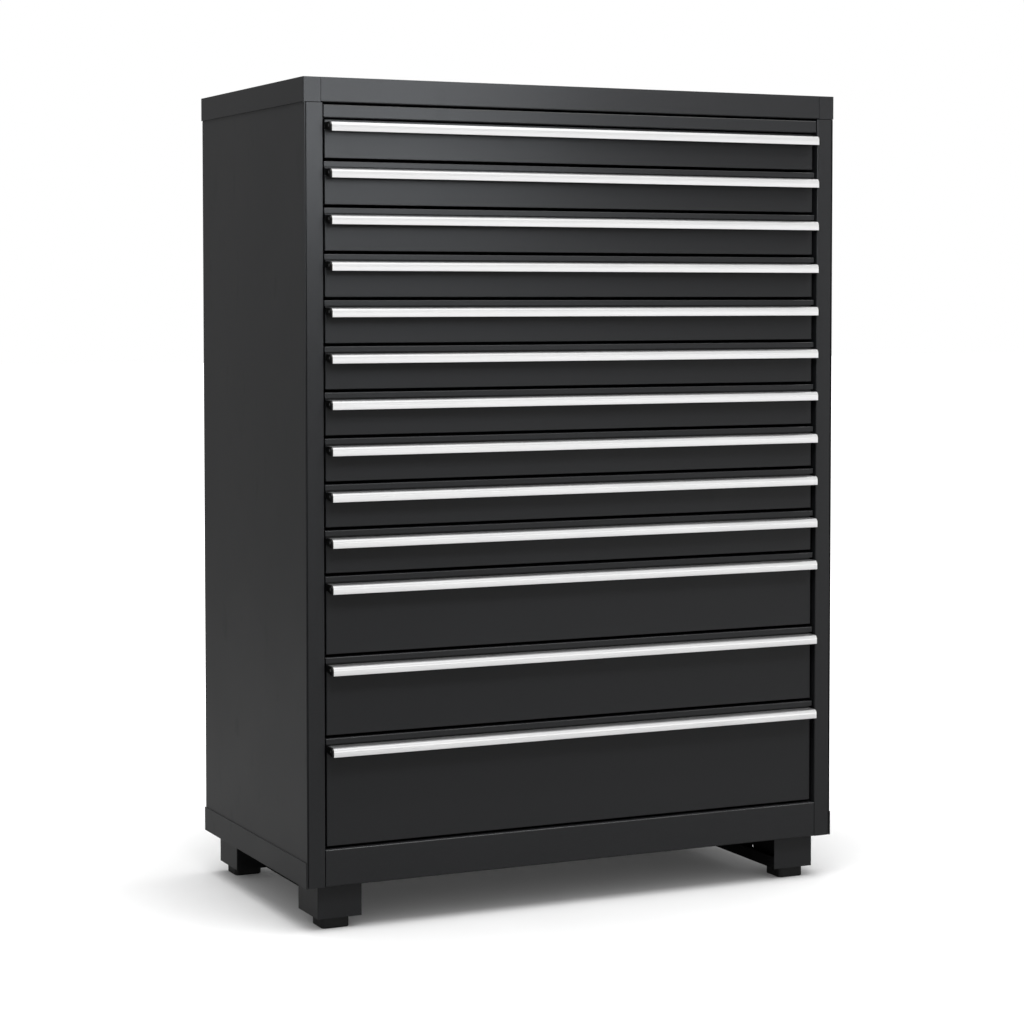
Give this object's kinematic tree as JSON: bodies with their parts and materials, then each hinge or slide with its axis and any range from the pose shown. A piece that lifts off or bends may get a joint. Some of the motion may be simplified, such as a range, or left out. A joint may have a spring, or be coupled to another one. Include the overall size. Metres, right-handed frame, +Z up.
{
  "type": "drawer cabinet",
  "caption": "Tall steel drawer cabinet on block feet, with full-width aluminium bar handles on shallow and deep drawers that slide out.",
  "frame": {"origin": "on the floor, in the middle of the footprint taken over the handles and the back bands", "axes": "+Z up; the drawers open towards -Y; +X to the right for someone facing the drawers"},
  "size_m": [1.14, 0.612, 1.587],
  "materials": {
    "cabinet_paint": "satin charcoal powder coat with a fine texture",
    "drawer_paint": "satin charcoal powder coat with a fine texture",
    "handle_aluminium": "fine satin anodised, drawn along its length",
    "slide_steel": "bright zinc plate",
    "foot_rubber": "matte black",
    "stud_steel": "bright zinc plate",
    "cap_plastic": "moulded black plastic, for the handles' end caps"
  },
  "bodies": {
    "cabinet": {"back_panel": "cabinet_paint", "base_front_rail": "cabinet_paint", "base_runners": "cabinet_paint", "base_side_rail_left": "cabinet_paint", "base_side_rail_right": "cabinet_paint", "floor_panel": "cabinet_paint", "foot_blocks": "cabinet_paint", "foot_pads": "foot_rubber", "front_post_left": "cabinet_paint", "front_post_right": "cabinet_paint", "header_strip": "cabinet_paint", "levelling_studs": "stud_steel", "rear_posts": "cabinet_paint", "side_panel_left": "cabinet_paint", "side_panel_right": "cabinet_paint", "slide_rails_fixed": "slide_steel", "top_front_rail": "cabinet_paint", "top_panel": "cabinet_paint", "top_rear_rail": "cabinet_paint", "top_side_rail_left": "cabinet_paint", "top_side_rail_right": "cabinet_paint"},
    "drawer_01": {"drawer_01_box": "drawer_paint", "drawer_01_handle": "handle_aluminium"},
    "drawer_01_mid": {"drawer_01_slide_mid": "slide_steel"},
    "drawer_02": {"drawer_02_box": "drawer_paint", "drawer_02_handle": "handle_aluminium"},
    "drawer_02_mid": {"drawer_02_slide_mid": "slide_steel"},
    "drawer_03": {"drawer_03_box": "drawer_paint", "drawer_03_handle": "handle_aluminium"},
    "drawer_03_mid": {"drawer_03_slide_mid": "slide_steel"},
    "drawer_04": {"drawer_04_box": "drawer_paint", "drawer_04_handle": "handle_aluminium"},
    "drawer_04_mid": {"drawer_04_slide_mid": "slide_steel"},
    "drawer_05": {"drawer_05_box": "drawer_paint", "drawer_05_handle": "handle_aluminium"},
    "drawer_05_mid": {"drawer_05_slide_mid": "slide_steel"},
    "drawer_06": {"drawer_06_box": "drawer_paint", "drawer_06_handle": "handle_aluminium"},
    "drawer_06_mid": {"drawer_06_slide_mid": "slide_steel"},
    "drawer_07": {"drawer_07_box": "drawer_paint", "drawer_07_handle": "handle_aluminium"},
    "drawer_07_mid": {"drawer_07_slide_mid": "slide_steel"},
    "drawer_08": {"drawer_08_box": "drawer_paint", "drawer_08_handle": "handle_aluminium"},
    "drawer_08_mid": {"drawer_08_slide_mid": "slide_steel"},
    "drawer_09": {"drawer_09_box": "drawer_paint", "drawer_09_handle": "handle_aluminium"},
    "drawer_09_mid": {"drawer_09_slide_mid": "slide_steel"},
    "drawer_10": {"drawer_10_box": "drawer_paint", "drawer_10_handle": "handle_aluminium"},
    "drawer_10_mid": {"drawer_10_slide_mid": "slide_steel"},
    "drawer_11": {"drawer_11_box": "drawer_paint", "drawer_11_handle": "handle_aluminium"},
    "drawer_11_mid": {"drawer_11_slide_mid": "slide_steel"},
    "drawer_12": {"drawer_12_box": "drawer_paint", "drawer_12_handle": "handle_aluminium"},
    "drawer_12_mid": {"drawer_12_slide_mid": "slide_steel"},
    "drawer_13": {"drawer_13_box": "drawer_paint", "drawer_13_handle": "handle_aluminium"},
    "drawer_13_mid": {"drawer_13_slide_mid": "slide_steel"}
  },
  "joints": [
    {"name": "drawer_01_slide", "type": "slide", "parent": "cabinet", "child": "drawer_01", "axis": [0, -1, 0], "range_m": [0, 0.508]},
    {"name": "drawer_01_mid_slide", "type": "slide", "parent": "cabinet", "child": "drawer_01_mid", "axis": [0, -1, 0], "range_m": [0, 0.254]},
    {"name": "drawer_02_slide", "type": "slide", "parent": "cabinet", "child": "drawer_02", "axis": [0, -1, 0], "range_m": [0, 0.508]},
    {"name": "drawer_02_mid_slide", "type": "slide", "parent": "cabinet", "child": "drawer_02_mid", "axis": [0, -1, 0], "range_m": [0, 0.254]},
    {"name": "drawer_03_slide", "type": "slide", "parent": "cabinet", "child": "drawer_03", "axis": [0, -1, 0], "range_m": [0, 0.508]},
    {"name": "drawer_03_mid_slide", "type": "slide", "parent": "cabinet", "child": "drawer_03_mid", "axis": [0, -1, 0], "range_m": [0, 0.254]},
    {"name": "drawer_04_slide", "type": "slide", "parent": "cabinet", "child": "drawer_04", "axis": [0, -1, 0], "range_m": [0, 0.508]},
    {"name": "drawer_04_mid_slide", "type": "slide", "parent": "cabinet", "child": "drawer_04_mid", "axis": [0, -1, 0], "range_m": [0, 0.254]},
    {"name": "drawer_05_slide", "type": "slide", "parent": "cabinet", "child": "drawer_05", "axis": [0, -1, 0], "range_m": [0, 0.508]},
    {"name": "drawer_05_mid_slide", "type": "slide", "parent": "cabinet", "child": "drawer_05_mid", "axis": [0, -1, 0], "range_m": [0, 0.254]},
    {"name": "drawer_06_slide", "type": "slide", "parent": "cabinet", "child": "drawer_06", "axis": [0, -1, 0], "range_m": [0, 0.508]},
    {"name": "drawer_06_mid_slide", "type": "slide", "parent": "cabinet", "child": "drawer_06_mid", "axis": [0, -1, 0], "range_m": [0, 0.254]},
    {"name": "drawer_07_slide", "type": "slide", "parent": "cabinet", "child": "drawer_07", "axis": [0, -1, 0], "range_m": [0, 0.508]},
    {"name": "drawer_07_mid_slide", "type": "slide", "parent": "cabinet", "child": "drawer_07_mid", "axis": [0, -1, 0], "range_m": [0, 0.254]},
    {"name": "drawer_08_slide", "type": "slide", "parent": "cabinet", "child": "drawer_08", "axis": [0, -1, 0], "range_m": [0, 0.508]},
    {"name": "drawer_08_mid_slide", "type": "slide", "parent": "cabinet", "child": "drawer_08_mid", "axis": [0, -1, 0], "range_m": [0, 0.254]},
    {"name": "drawer_09_slide", "type": "slide", "parent": "cabinet", "child": "drawer_09", "axis": [0, -1, 0], "range_m": [0, 0.508]},
    {"name": "drawer_09_mid_slide", "type": "slide", "parent": "cabinet", "child": "drawer_09_mid", "axis": [0, -1, 0], "range_m": [0, 0.254]},
    {"name": "drawer_10_slide", "type": "slide", "parent": "cabinet", "child": "drawer_10", "axis": [0, -1, 0], "range_m": [0, 0.508]},
    {"name": "drawer_10_mid_slide", "type": "slide", "parent": "cabinet", "child": "drawer_10_mid", "axis": [0, -1, 0], "range_m": [0, 0.254]},
    {"name": "drawer_11_slide", "type": "slide", "parent": "cabinet", "child": "drawer_11", "axis": [0, -1, 0], "range_m": [0, 0.508]},
    {"name": "drawer_11_mid_slide", "type": "slide", "parent": "cabinet", "child": "drawer_11_mid", "axis": [0, -1, 0], "range_m": [0, 0.254]},
    {"name": "drawer_12_slide", "type": "slide", "parent": "cabinet", "child": "drawer_12", "axis": [0, -1, 0], "range_m": [0, 0.508]},
    {"name": "drawer_12_mid_slide", "type": "slide", "parent": "cabinet", "child": "drawer_12_mid", "axis": [0, -1, 0], "range_m": [0, 0.254]},
    {"name": "drawer_13_slide", "type": "slide", "parent": "cabinet", "child": "drawer_13", "axis": [0, -1, 0], "range_m": [0, 0.508]},
    {"name": "drawer_13_mid_slide", "type": "slide", "parent": "cabinet", "child": "drawer_13_mid", "axis": [0, -1, 0], "range_m": [0, 0.254]}
  ],
  "couplings": [
    {"joint": "drawer_01_mid_slide", "follows": "drawer_01_slide", "ratio": 0.5},
    {"joint": "drawer_02_mid_slide", "follows": "drawer_02_slide", "ratio": 0.5},
    {"joint": "drawer_03_mid_slide", "follows": "drawer_03_slide", "ratio": 0.5},
    {"joint": "drawer_04_mid_slide", "follows": "drawer_04_slide", "ratio": 0.5},
    {"joint": "drawer_05_mid_slide", "follows": "drawer_05_slide", "ratio": 0.5},
    {"joint": "drawer_06_mid_slide", "follows": "drawer_06_slide", "ratio": 0.5},
    {"joint": "drawer_07_mid_slide", "follows": "drawer_07_slide", "ratio": 0.5},
    {"joint": "drawer_08_mid_slide", "follows": "drawer_08_slide", "ratio": 0.5},
    {"joint": "drawer_09_mid_slide", "follows": "drawer_09_slide", "ratio": 0.5},
    {"joint": "drawer_10_mid_slide", "follows": "drawer_10_slide", "ratio": 0.5},
    {"joint": "drawer_11_mid_slide", "follows": "drawer_11_slide", "ratio": 0.5},
    {"joint": "drawer_12_mid_slide", "follows": "drawer_12_slide", "ratio": 0.5},
    {"joint": "drawer_13_mid_slide", "follows": "drawer_13_slide", "ratio": 0.5}
  ]
}
